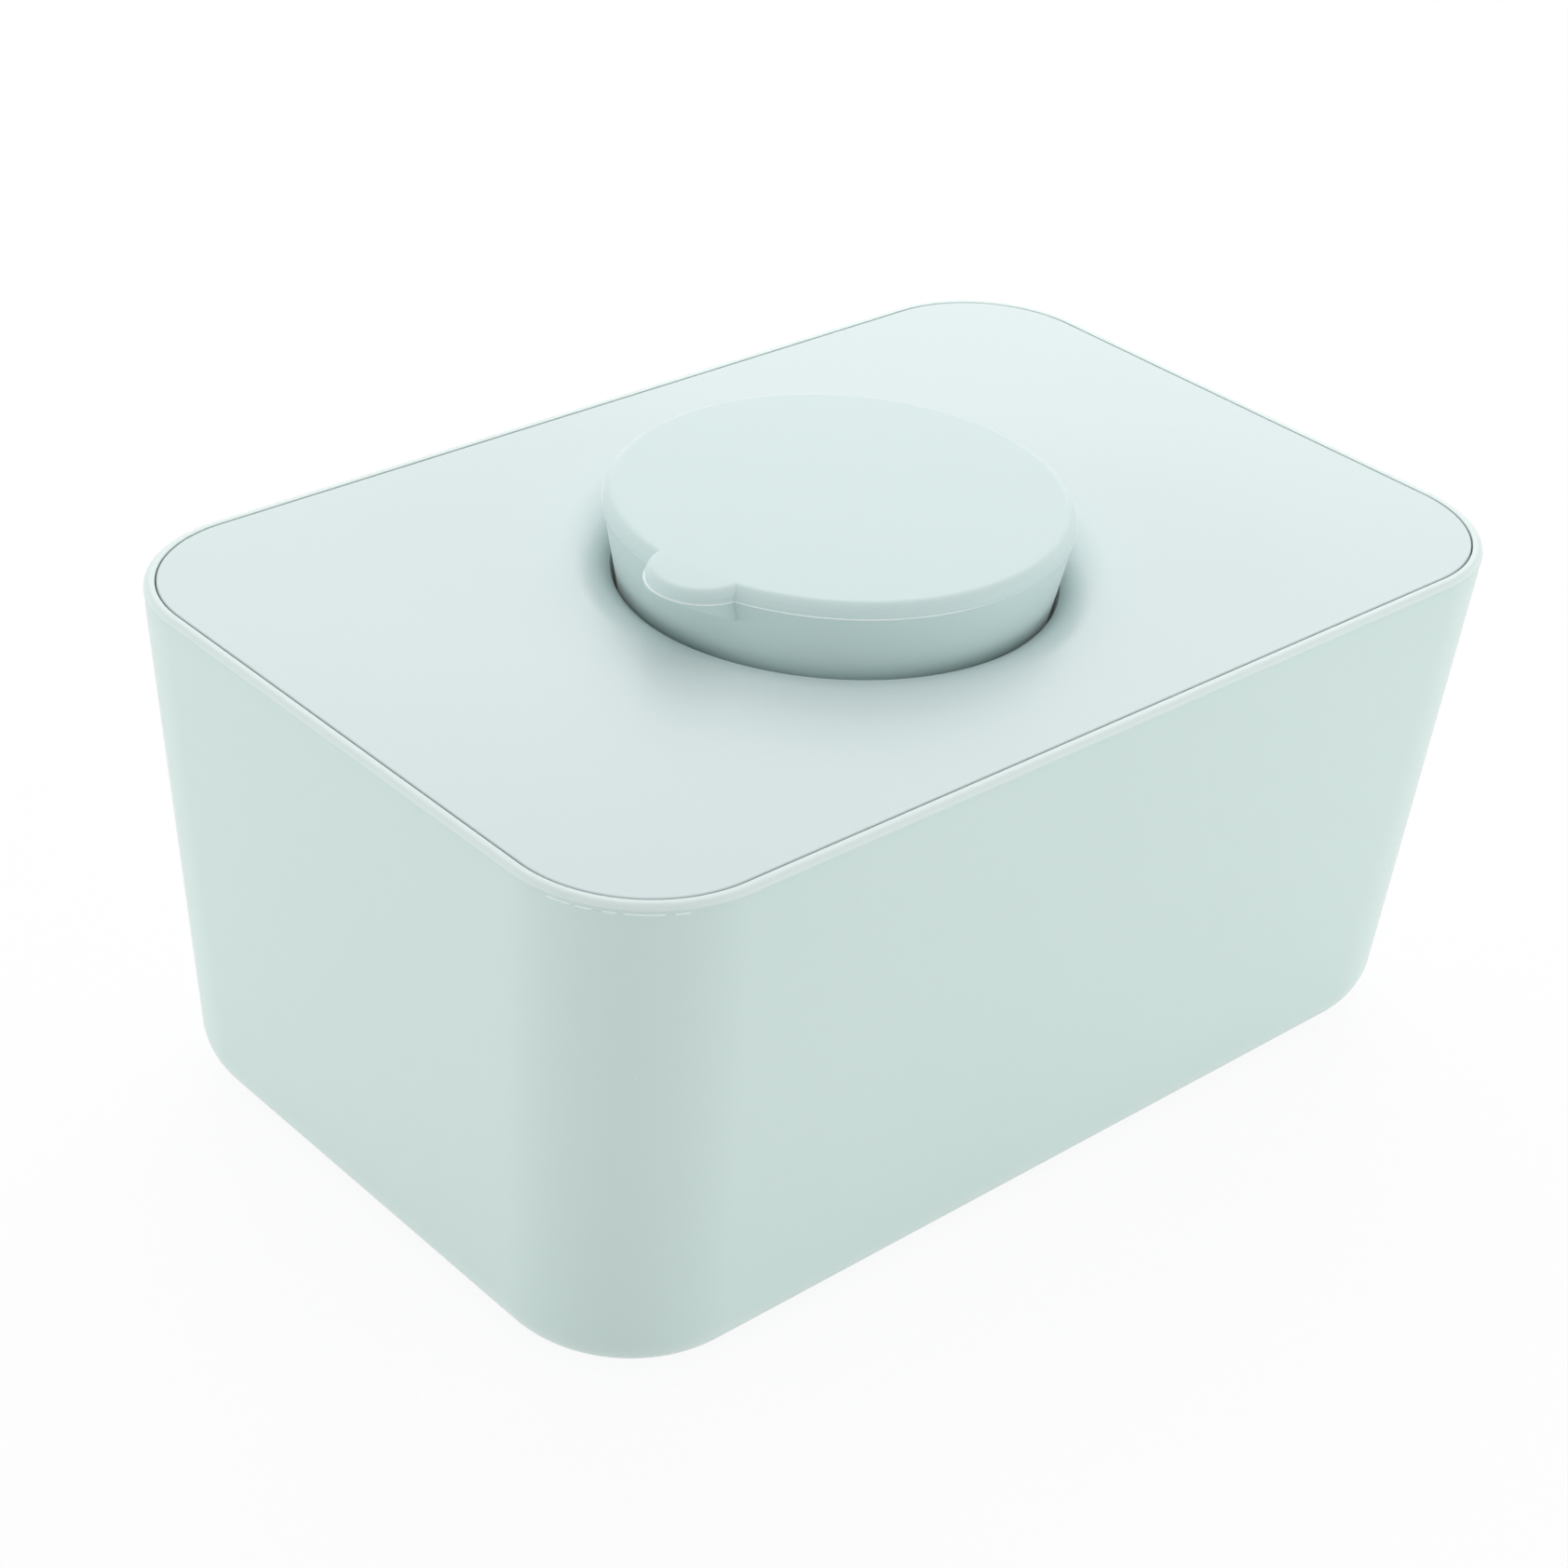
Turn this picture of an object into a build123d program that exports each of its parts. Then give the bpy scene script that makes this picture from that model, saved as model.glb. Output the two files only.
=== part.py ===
"""Countertop wipes dispenser for baby and child care.

A tapered plastic tub stands on four soft feet. A flat lid lies flush inside the tub's rim and
carries a lip seal round its skirt. A round well is sunk in the lid. A soft outlet is gripped by
the well's floor, and a hollow silicone cap with a thumb tab plugs the well.

Units are millimetres. X runs along the tub's length, Y across it and Z up. The origin is on the
surface that the feet stand on, under the middle of the tub.
"""
from build123d import *
import math
import os

# Tub
rim_length = 200.0
rim_width = 134.0
rim_corner_radius = 24.0
tub_height = 92.3
base_taper = 5.4
base_corner_radius = 23.7
base_edge_radius = 10.2
rim_lip = 1.9
rim_outer_round = 1.2
rim_inner_round = 0.2
wall_under_lid = 3.6
wall_at_base = 2.4
floor_thickness = 2.6
inner_edge_radius = 7.8
gate_radius = 4.0
gate_depth = 0.5

# Feet
foot_radius = 6.5
foot_thickness = 1.6
foot_proud = 0.7
foot_clearance = 0.15
foot_edge_round = 0.4
foot_inset_x = 28.0
foot_inset_y = 28.0

# Lid
lid_thickness = 2.2
lid_gap = 0.25
lid_edge_round = 0.25
skirt_inset = 2.6
skirt_wall = 2.6
skirt_depth = 9.0
rib_thickness = 1.2
rib_height = 4.0

# Round well in the lid
throat_gap = 0.7
lip_radius = 11.6
lip_turn = 45.0
well_wall = 2.0
well_depth = 14.5
well_floor = 2.0
outlet_bore = 24.0

# Lip seal round the lid's skirt
groove_depth = 0.9
groove_height = 4.0
groove_drop = 2.4
seal_slack = 0.1
seal_lip_height = 0.9
seal_clearance = 0.7

# Cap
cap_radius = 38.4
cap_seam_height = 8.5
cap_wall_slope = 0.19
cap_edge_width = 2.0
cap_edge_height = 2.3
cap_wall = 2.4
cap_top_thickness = 2.6
cap_inner_round = 3.0
cap_foot_clearance = 0.35
bead_height = 1.4
bead_proud = 0.35
bead_lift = 2.2

# Thumb tab on the cap
tab_angle = -170.0
tab_radius = 8.7
tab_reach = 5.4
tab_tip_thickness = 2.0
tab_edge_round = 1.5
tab_root_margin = 0.3
gusset_depth = 2.8

# Soft outlet in the well's floor
outlet_flange = 2.2
outlet_flange_thickness = 1.2
outlet_bore_slack = 0.2
outlet_dish_rim = 3.0
outlet_skin = 1.4
slot_length = 34.0
slot_width = 8.0
finger_slit = 1.2
finger_length = 4.5
finger_count = 3
finger_pitch = 9.0

# Levels that follow from the sizes above
base_level = foot_proud
rim_level = base_level + tub_height
ledge_level = rim_level - lid_thickness
floor_level = base_level + floor_thickness
seat_level = rim_level - well_depth
well_underside = seat_level - well_floor
seam_level = rim_level + cap_seam_height
cap_top_level = seam_level + cap_edge_height
skirt_end_level = ledge_level - skirt_depth
groove_top_level = ledge_level - groove_drop
groove_floor_level = groove_top_level - groove_height
lip_level = rim_level - lip_radius * (1 - math.cos(math.radians(lip_turn)))
throat_radius = cap_radius - cap_wall_slope * (seam_level - lip_level) + throat_gap
lip_end = throat_radius + lip_radius * math.sin(math.radians(lip_turn))


def outline(inset, level, corner_radius):
    """Rounded rectangle that lies inset from the rim's outline, at a level."""
    sketch = RectangleRounded(rim_length - 2 * inset, rim_width - 2 * inset, corner_radius)
    return Plane.XY.offset(level) * sketch


def prism(inset, level, height):
    """Upright block inset from the rim's outline, with the rim's corner centres."""
    return extrude(outline(inset, level, rim_corner_radius - inset), height)


def outer_inset(level):
    """How far the tub's outside has come in from the rim at a level."""
    return base_taper * (rim_level - level) / tub_height


def lowest_edges(solid):
    """Edges at a solid's lowest level."""
    return solid.edges().group_by(Axis.Z)[0]


def highest_edges(solid):
    """Edges at a solid's highest level."""
    return solid.edges().group_by(Axis.Z)[-1]


def spin(profile):
    """Solid of revolution about Z from a face in the XZ plane."""
    return revolve(profile, Axis.Z)


def foot_places():
    """Centres of the four feet, with the name of the corner that each stands under."""
    x = rim_length / 2 - foot_inset_x
    y = rim_width / 2 - foot_inset_y
    return {
        "front_left": (-x, -y),
        "front_right": (x, -y),
        "rear_left": (-x, y),
        "rear_right": (x, y),
    }


def make_tub():
    """Open tub with a ledge for the lid inside its rim and shallow pockets for the feet."""
    body = loft(
        [
            outline(base_taper, base_level, base_corner_radius),
            outline(0, rim_level, rim_corner_radius),
        ],
        ruled=True,
    )
    body = fillet(lowest_edges(body), base_edge_radius)
    body = fillet(highest_edges(body), rim_outer_round)
    floor_inset = outer_inset(floor_level) + wall_at_base
    cavity = loft(
        [
            outline(floor_inset, floor_level, base_corner_radius - wall_at_base),
            outline(wall_under_lid, ledge_level, rim_corner_radius - wall_under_lid),
        ],
        ruled=True,
    )
    cavity = fillet(lowest_edges(cavity), inner_edge_radius)
    recess = prism(rim_lip, ledge_level, lid_thickness)
    tub = body - cavity - recess
    mouth = [
        edge
        for edge in highest_edges(tub)
        if abs(edge.center().X) < rim_length / 2 - rim_outer_round - rim_inner_round
        and abs(edge.center().Y) < rim_width / 2 - rim_outer_round - rim_inner_round
    ]
    tub = fillet(mouth, rim_inner_round)
    pocket_radius = foot_radius + foot_clearance
    pocket_depth = foot_thickness - foot_proud
    for x, y in foot_places().values():
        tub -= Pos(x, y, base_level + pocket_depth / 2) * Cylinder(pocket_radius, pocket_depth)
    tub -= Pos(0, 0, base_level + gate_depth / 2) * Cylinder(gate_radius, gate_depth)
    return tub


def make_foot(x, y):
    """Round soft foot, seated in its pocket and standing a little proud of the base."""
    foot = Pos(x, y, foot_thickness / 2) * Cylinder(foot_radius, foot_thickness)
    return fillet(lowest_edges(foot), foot_edge_round)


def lip_arc(radius):
    """Arc about the rolled lip's centre, from the lid's flat down to the throat's edge."""
    return CenterArc((lip_end, rim_level - lip_radius), radius, 90, lip_turn)


def well_profile():
    """Half section of the lid's rolled lip, well wall and well floor."""
    seat_radius = cap_outer_radius(seat_level) + cap_foot_clearance
    upper = lip_arc(lip_radius)
    under = lip_arc(lip_radius - lid_thickness)
    inside = Polyline(
        upper @ 1,
        (seat_radius, seat_level),
        (outlet_bore, seat_level),
        (outlet_bore, well_underside),
        (seat_radius + well_wall, well_underside),
        under @ 1,
    )
    edge = Line(under @ 0, upper @ 0)
    return Plane.XZ * make_face(Curve() + [inside, under, edge, upper])


def above_lip():
    """Space above the rolled lip, which the ribs stay out of."""
    upper = lip_arc(lip_radius)
    frame = Polyline(upper @ 1, (0, lip_level), (0, rim_level), upper @ 0)
    return spin(Plane.XZ * make_face(Curve() + [frame, upper]))


def make_lid():
    """Flush lid panel with a rolled well, a grooved skirt and ribs under the panel."""
    edge_inset = rim_lip + lid_gap
    panel = prism(edge_inset, ledge_level, lid_thickness)
    panel = fillet(highest_edges(panel), lid_edge_round)
    hole = Pos(0, 0, ledge_level + lid_thickness / 2) * Cylinder(lip_end, lid_thickness)
    skirt_outside = edge_inset + skirt_inset
    skirt_inside = skirt_outside + skirt_wall
    skirt = prism(skirt_outside, skirt_end_level, skirt_depth)
    skirt -= prism(skirt_inside, skirt_end_level, skirt_depth)
    groove = prism(skirt_outside, groove_floor_level, groove_height)
    groove -= prism(skirt_outside + groove_depth, groove_floor_level, groove_height)
    ribs = Part()
    for turn in range(4):
        bar = Box(rim_length, rib_thickness, rib_height)
        ribs += Pos(0, 0, ledge_level - rib_height / 2) * (Rot(0, 0, 45 * turn) * bar)
    ribs &= prism(skirt_inside - skirt_wall / 2, ledge_level - rib_height, rib_height)
    rib_root = throat_radius + well_wall / 2
    ribs -= Pos(0, 0, ledge_level - rib_height / 2) * Cylinder(rib_root, rib_height)
    ribs -= above_lip()
    return panel - hole + spin(well_profile()) + (skirt - groove) + ribs


def make_lid_seal():
    """Soft ring in the skirt's groove, with two lips that face the tub's wall."""
    skirt_outside = rim_lip + lid_gap + skirt_inset
    back = skirt_outside + groove_depth - seal_slack
    height = groove_height - 2 * seal_slack
    lip_inset = wall_under_lid + seal_clearance
    ring = prism(skirt_outside, groove_floor_level, height)
    for level in (groove_floor_level + seal_slack, groove_floor_level + height - seal_lip_height):
        ring += prism(lip_inset, level, seal_lip_height)
    return ring - prism(back, groove_floor_level, height)


def cap_outer_radius(level):
    """Radius of the cap's tapered wall at a level below its seam."""
    return cap_radius - cap_wall_slope * (seam_level - level)


def cap_outside():
    """Solid form of the cap: rounded edge above the seam, tapered wall with a bead below it."""
    bead_low = seat_level + bead_lift
    bead_mid = bead_low + bead_height / 2
    bead_high = bead_low + bead_height
    top = Line((0, cap_top_level), (cap_radius - cap_edge_width, cap_top_level))
    edge = EllipticalCenterArc(
        (cap_radius - cap_edge_width, seam_level), cap_edge_width, cap_edge_height, arc_size=90
    )
    upper = Line((cap_radius, seam_level), (cap_outer_radius(bead_high), bead_high))
    bead = ThreePointArc(
        (cap_outer_radius(bead_high), bead_high),
        (cap_outer_radius(bead_mid) + bead_proud, bead_mid),
        (cap_outer_radius(bead_low), bead_low),
    )
    lower = Polyline(
        (cap_outer_radius(bead_low), bead_low),
        (cap_outer_radius(seat_level), seat_level),
        (0, seat_level),
        (0, cap_top_level),
    )
    return spin(Plane.XZ * make_face(Curve() + [top, edge, upper, bead, lower]))


def cap_inside():
    """Hollow under the cap, open at its foot."""
    ceiling = cap_top_level - cap_top_thickness
    hollow = spin(
        Plane.XZ
        * make_face(
            Polyline(
                (0, seat_level),
                (cap_outer_radius(seat_level) - cap_wall, seat_level),
                (cap_outer_radius(seam_level) - cap_wall - cap_edge_width / 4, ceiling),
                (0, ceiling),
                close=True,
            )
        )
    )
    return fillet(highest_edges(hollow), cap_inner_round)


def thumb_tab():
    """Sloping lobe at the cap's edge, with a gusset below the seam."""
    tip = cap_radius + tab_reach
    centre = tip - tab_radius
    near = centre - tab_radius
    tip_top = seam_level + tab_tip_thickness
    fall = (cap_top_level - tip_top) / (tip - cap_radius + cap_edge_width)
    near_top = tip_top + fall * (tip - near)
    gusset_root = cap_outer_radius(seam_level - gusset_depth)
    rise = gusset_depth / (tip - gusset_root)
    near_bottom = seam_level - rise * (tip - near)
    side = Plane.XZ * make_face(
        Polyline(
            (near, near_top), (tip, tip_top), (tip, seam_level), (near, near_bottom), close=True
        )
    )
    lobe = extrude(side, tab_radius, both=True)
    height = near_top - near_bottom
    lobe &= Pos(centre, 0, near_bottom + height / 2) * Cylinder(tab_radius, height)
    lobe = fillet(lobe.faces().sort_by(Axis.Z)[-1].edges(), tab_edge_round)
    root = cap_radius - cap_edge_width + tab_root_margin
    outer_part = Box(tip - root, 2 * tab_radius, height)
    lobe &= Pos((tip + root) / 2, 0, near_bottom + height / 2) * outer_part
    return Rot(0, 0, tab_angle) * lobe


def make_cap():
    """Hollow silicone plug with a thumb tab."""
    return cap_outside() + thumb_tab() - cap_inside()


def make_outlet():
    """Soft outlet: a grommet in the well's floor with a slotted skin inside it."""
    body = outlet_bore - outlet_bore_slack
    flange = outlet_bore + outlet_flange
    dish = body - outlet_dish_rim
    top = seat_level + outlet_flange_thickness
    bottom = well_underside - outlet_flange_thickness
    outlet = spin(
        Plane.XZ
        * make_face(
            Polyline(
                (0, seat_level),
                (dish, seat_level),
                (dish, top),
                (flange, top),
                (flange, seat_level),
                (body, seat_level),
                (body, well_underside),
                (flange, well_underside),
                (flange, bottom),
                (dish, bottom),
                (dish, seat_level - outlet_skin),
                (0, seat_level - outlet_skin),
                close=True,
            )
        )
    )
    cut = SlotOverall(slot_length, slot_width)
    for index in range(finger_count):
        x = (index - (finger_count - 1) / 2) * finger_pitch
        cut += Pos(x, 0) * RectangleRounded(
            finger_slit, slot_width + 2 * finger_length, finger_slit * 0.45
        )
    return outlet - extrude(Plane.XY.offset(seat_level - outlet_skin) * cut, outlet_skin)


os.makedirs("parts", exist_ok=True)
nodes = {
    "tub": make_tub(),
    "lid_panel": make_lid(),
    "lid_seal": make_lid_seal(),
    "outlet_insert": make_outlet(),
    "cap": make_cap(),
}
for corner, (foot_x, foot_y) in foot_places().items():
    nodes[f"foot_{corner}"] = make_foot(foot_x, foot_y)
for name, shape in nodes.items():
    export_step(shape, f"parts/{name}.step")
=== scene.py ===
"""Looks of a countertop wipes dispenser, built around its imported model.

A tapered tub stands on four soft feet. A lid lies flush inside its rim, a hollow silicone cap
plugs the round well in the lid, and a soft outlet sits in the well's floor.

Lengths are metres. X runs along the tub, Y across it and Z up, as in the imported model. Every
piece here stands for one node of that model and has its sizes.
"""

import logging
import math
from collections.abc import Sequence
from dataclasses import dataclass
from enum import Enum

import bmesh
import bpy
from mathutils import Matrix, Vector


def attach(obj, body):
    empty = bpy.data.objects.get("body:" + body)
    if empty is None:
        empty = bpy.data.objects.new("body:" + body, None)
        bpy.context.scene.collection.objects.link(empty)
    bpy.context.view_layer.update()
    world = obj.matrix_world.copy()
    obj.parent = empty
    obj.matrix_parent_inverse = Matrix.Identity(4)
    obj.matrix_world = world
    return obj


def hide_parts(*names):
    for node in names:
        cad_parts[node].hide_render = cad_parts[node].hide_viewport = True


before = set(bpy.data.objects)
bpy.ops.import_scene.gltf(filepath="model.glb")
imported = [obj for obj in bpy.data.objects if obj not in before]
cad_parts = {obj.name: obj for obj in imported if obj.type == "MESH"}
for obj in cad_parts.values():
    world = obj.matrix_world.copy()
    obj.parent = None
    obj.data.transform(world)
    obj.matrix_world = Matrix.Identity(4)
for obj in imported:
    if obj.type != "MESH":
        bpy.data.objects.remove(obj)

log = logging.getLogger("wipes_dispenser")

MM = 0.001
MERGE_DISTANCE = 0.002 * MM
JOINED_MERGE_DISTANCE = 0.005 * MM
LEVEL_TOLERANCE = 0.01 * MM
CRISP_ANGLE = 28.0
SOFT_CRISP_ANGLE = 35.0
STRAIGHT_TURN = 1e-4
LEAST_STEPS = 3

Point = tuple[float, float]
Corner = tuple[float, float, float]


class Body(Enum):
    """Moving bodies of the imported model."""

    TUB = "tub"
    LID = "lid"
    CAP = "cap"


class Slot(Enum):
    """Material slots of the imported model's record."""

    TUB = "tub_plastic"
    LID = "lid_plastic"
    CAP = "cap_silicone"
    OUTLET = "outlet_silicone"
    SEAL = "seal_silicone"
    FOOT = "foot_silicone"


class Cut(Enum):
    """How one closed piece is combined with another."""

    JOIN = "UNION"
    TAKE_AWAY = "DIFFERENCE"


@dataclass(frozen=True)
class Envelope:
    """Sizes that more than one piece needs, and the levels that follow from them."""

    rim_length: float = 200.0 * MM
    rim_width: float = 134.0 * MM
    rim_corner: float = 24.0 * MM
    tub_height: float = 92.3 * MM
    foot_proud: float = 0.7 * MM
    rim_lip: float = 1.9 * MM
    wall_under_lid: float = 3.6 * MM
    lid_thickness: float = 2.2 * MM
    lid_gap: float = 0.25 * MM
    skirt_inset: float = 2.6 * MM
    groove_depth: float = 0.9 * MM
    groove_height: float = 4.0 * MM
    groove_drop: float = 2.4 * MM
    well_depth: float = 14.5 * MM
    well_floor: float = 2.0 * MM
    lip_radius: float = 11.6 * MM
    lip_turn: float = 45.0
    throat_gap: float = 0.7 * MM
    outlet_bore: float = 24.0 * MM
    cap_radius: float = 38.4 * MM
    cap_wall_slope: float = 0.19
    cap_seam_height: float = 8.5 * MM
    cap_edge_width: float = 2.0 * MM
    cap_edge_height: float = 2.3 * MM
    foot_radius: float = 6.5 * MM
    foot_thickness: float = 1.6 * MM
    foot_inset: float = 28.0 * MM

    @property
    def rim_level(self) -> float:
        """Level of the tub's rim and of the lid's top."""
        return self.foot_proud + self.tub_height

    @property
    def ledge_level(self) -> float:
        """Level of the ledge that the lid rests on."""
        return self.rim_level - self.lid_thickness

    @property
    def seat_level(self) -> float:
        """Level of the well's floor, which the cap stands on."""
        return self.rim_level - self.well_depth

    @property
    def well_underside(self) -> float:
        """Level of the underside of the well's floor."""
        return self.seat_level - self.well_floor

    @property
    def lip_level(self) -> float:
        """Level of the throat's edge, where the rolled lip meets the well's wall."""
        return self.rim_level - self.lip_radius * (1 - math.cos(math.radians(self.lip_turn)))

    @property
    def seam_level(self) -> float:
        """Level of the cap's parting line."""
        return self.rim_level + self.cap_seam_height

    @property
    def cap_top(self) -> float:
        """Level of the cap's flat top."""
        return self.seam_level + self.cap_edge_height

    @property
    def groove_top(self) -> float:
        """Level of the upper side of the seal's groove."""
        return self.ledge_level - self.groove_drop

    @property
    def throat_radius(self) -> float:
        """Radius of the throat's edge."""
        return self.cap_outer_radius(self.lip_level) + self.throat_gap

    @property
    def lip_middle(self) -> Point:
        """Centre of the rolled lip's arc, as radius and level."""
        across = self.throat_radius + self.lip_radius * math.sin(math.radians(self.lip_turn))
        return (across, self.rim_level - self.lip_radius)

    def cap_outer_radius(self, level: float) -> float:
        """Radius of the cap's tapered wall.

        Args:
            level: A level at or below the seam.

        Returns:
            The wall's outer radius there.
        """
        return self.cap_radius - self.cap_wall_slope * (self.seam_level - level)

    def inset_outline(self, inset: float, level: float) -> "Outline":
        """Outline inset from the rim's, with the rim's corner centres.

        Args:
            inset: Its distance in from the rim's outline.
            level: Its level.

        Returns:
            The outline.
        """
        return Outline(
            self.rim_length / 2 - inset, self.rim_width / 2 - inset, self.rim_corner - inset, level
        )

    def foot_places(self) -> dict[str, Point]:
        """Centres of the four feet, by the corner that each stands under."""
        x = self.rim_length / 2 - self.foot_inset
        y = self.rim_width / 2 - self.foot_inset
        return {
            "front_left": (-x, -y),
            "front_right": (x, -y),
            "rear_left": (-x, y),
            "rear_right": (x, y),
        }


@dataclass(frozen=True)
class Outline:
    """Rounded rectangle at a level."""

    half_length: float
    half_width: float
    corner: float
    level: float

    def carry(self, place: Vector, other: "Outline") -> Vector:
        """Moves a point of this outline to the matching point of another.

        Args:
            place: A point on this outline.
            other: The outline that it goes to.

        Returns:
            The point's new place.
        """
        side_x = math.copysign(1.0, place.x)
        side_y = math.copysign(1.0, place.y)
        along_x = (abs(place.x) - self.half_length + self.corner) / self.corner
        along_y = (abs(place.y) - self.half_width + self.corner) / self.corner
        return Vector(
            (
                side_x * (other.half_length - other.corner + along_x * other.corner),
                side_y * (other.half_width - other.corner + along_y * other.corner),
                other.level,
            )
        )


def soften(corners: Sequence[Corner], density: float = 4.0) -> list[Point]:
    """Rounds the corners of an open path in a section plane.

    Args:
        corners: Path corners as across, level and rounding radius. The ends stay as they are.
        density: Steps for each radian of turn at a radius of one millimetre.

    Returns:
        The path's points, with an arc in place of each rounded corner.
    """
    path = [corners[0][:2]]
    for before, here, after in zip(corners, corners[1:], corners[2:]):
        corner = Vector(here[:2])
        back = (Vector(before[:2]) - corner).normalized()
        ahead = (Vector(after[:2]) - corner).normalized()
        turn = math.pi - back.angle(ahead)
        if here[2] == 0.0 or turn < STRAIGHT_TURN:
            path.append(here[:2])
            continue
        reach = here[2] * math.tan(turn / 2)
        centre = corner + (back + ahead).normalized() * here[2] / math.cos(turn / 2)
        first = corner + back * reach - centre
        side = math.copysign(1.0, back.y * ahead.x - back.x * ahead.y)
        steps = max(LEAST_STEPS, math.ceil(turn * math.sqrt(here[2] / MM) * density))
        for step in range(steps + 1):
            angle = side * turn * step / steps
            spoke = Vector(
                (
                    first.x * math.cos(angle) - first.y * math.sin(angle),
                    first.x * math.sin(angle) + first.y * math.cos(angle),
                )
            )
            path.append(tuple(centre + spoke))
    path.append(corners[-1][:2])
    return path


def arc(centre: Point, radii: Point, start: float, end: float, steps: int) -> list[Point]:
    """Points along a circular or elliptical arc in a section plane.

    Args:
        centre: Middle of the ellipse.
        radii: Its half axes, across and upwards.
        start: First angle in degrees, from the outward direction.
        end: Last angle in degrees.
        steps: Number of chords.

    Returns:
        The points from the start to the end.
    """
    points = []
    for step in range(steps + 1):
        angle = math.radians(start + (end - start) * step / steps)
        points.append(
            (centre[0] + radii[0] * math.cos(angle), centre[1] + radii[1] * math.sin(angle))
        )
    return points


def first_ring(bm: bmesh.types.BMesh, outline: Outline, corner_steps: int) -> bmesh.types.BMFace:
    """Makes a flat rounded rectangle from a square with bevelled corners.

    Args:
        bm: The mesh to add it to.
        outline: Its size and level.
        corner_steps: Chords in each corner.

    Returns:
        Its only face.
    """
    square = bmesh.ops.create_grid(bm, x_segments=1, y_segments=1, size=1.0)["verts"]
    size = Vector((outline.half_length, outline.half_width, 1.0))
    bmesh.ops.scale(bm, vec=size, verts=square)
    bmesh.ops.translate(bm, vec=(0, 0, outline.level), verts=square)
    face = square[0].link_faces[0]
    bmesh.ops.bevel(
        bm,
        geom=square,
        offset=outline.corner,
        offset_type="OFFSET",
        affect="VERTICES",
        segments=corner_steps,
        profile=0.5,
        material=-1,
    )
    bm.faces.ensure_lookup_table()
    return max(bm.faces, key=lambda item: len(item.verts)) if not face.is_valid else face


def sweep(
    bm: bmesh.types.BMesh, outlines: Sequence[Outline], corner_steps: int
) -> tuple[bmesh.types.BMFace, bmesh.types.BMFace]:
    """Extrudes a rounded rectangle through a row of outlines.

    Args:
        bm: The mesh to add it to.
        outlines: The outlines in order.
        corner_steps: Chords in each corner.

    Returns:
        The faces that close its first and last outlines.
    """
    start = first_ring(bm, outlines[0], corner_steps)
    end = start
    for before, after in zip(outlines, outlines[1:]):
        grown = bmesh.ops.extrude_face_region(bm, geom=[end])["geom"]
        if end is not start:
            bmesh.ops.delete(bm, geom=[end], context="FACES_ONLY")
        for vert in (item for item in grown if isinstance(item, bmesh.types.BMVert)):
            vert.co = before.carry(vert.co, after)
        end = next(item for item in grown if isinstance(item, bmesh.types.BMFace))
    return start, end


def spin(
    bm: bmesh.types.BMesh, profile: Sequence[Point], steps: int, middle: Point = (0.0, 0.0)
) -> None:
    """Turns a profile once round an upright axis.

    Args:
        bm: The mesh to add it to.
        profile: Points as radius and level.
        steps: Chords round the axis.
        middle: Where the axis stands.
    """
    known = set(bm.verts)
    verts = [bm.verts.new((middle[0] + radius, middle[1], level)) for radius, level in profile]
    edges = [bm.edges.new(pair) for pair in zip(verts, verts[1:])]
    bmesh.ops.spin(
        bm,
        geom=verts + edges,
        cent=(*middle, 0.0),
        axis=(0.0, 0.0, 1.0),
        angle=math.tau,
        steps=steps,
        use_merge=True,
    )
    made = [vert for vert in bm.verts if vert not in known]
    bmesh.ops.remove_doubles(bm, verts=made, dist=MERGE_DISTANCE)


def fill_level(bm: bmesh.types.BMesh, level: float) -> None:
    """Fills the flat region between the open loops at a level.

    Args:
        bm: The mesh that holds the loops.
        level: Their level.
    """
    rim = [
        edge
        for edge in bm.edges
        if edge.is_boundary and all(abs(v.co.z - level) < LEVEL_TOLERANCE for v in edge.verts)
    ]
    bmesh.ops.triangle_fill(bm, use_beauty=True, use_dissolve=False, edges=rim, normal=(0, 0, 1))


def tidy_mesh(bm: bmesh.types.BMesh, sharp_angle: float = CRISP_ANGLE) -> None:
    """Merges doubles, turns the faces outwards and marks the edges that stay crisp.

    Args:
        bm: The mesh.
        sharp_angle: Angle in degrees past which an edge is crisp.
    """
    bmesh.ops.remove_doubles(bm, verts=bm.verts, dist=MERGE_DISTANCE)
    bmesh.ops.recalc_face_normals(bm, faces=bm.faces)
    for face in bm.faces:
        face.smooth = True
    for edge in bm.edges:
        edge.smooth = edge.calc_face_angle(math.pi) < math.radians(sharp_angle)


def to_object(bm: bmesh.types.BMesh, name: str, *finishes: "SatinSkin") -> bpy.types.Object:
    """Makes a scene object from a mesh that is being built.

    Args:
        bm: The mesh, which is freed.
        name: The object's name.
        finishes: Its materials, in the order of the faces' numbers for them.

    Returns:
        The object, at the origin.
    """
    mesh = bpy.data.meshes.new(name)
    for finish in finishes:
        mesh.materials.append(finish.build())
    bm.to_mesh(mesh)
    bm.free()
    made = bpy.data.objects.new(name, mesh)
    bpy.context.scene.collection.objects.link(made)
    return made


def retidy(piece: bpy.types.Object, merge_distance: float) -> None:
    """Cleans up a piece after others were joined to it or taken from it.

    Args:
        piece: The piece.
        merge_distance: How close two points are to become one.
    """
    bm = bmesh.new()
    bm.from_mesh(piece.data)
    bmesh.ops.remove_doubles(bm, verts=bm.verts, dist=merge_distance)
    bmesh.ops.dissolve_degenerate(bm, edges=bm.edges, dist=merge_distance)
    tidy_mesh(bm)
    bm.to_mesh(piece.data)
    bm.free()


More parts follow.
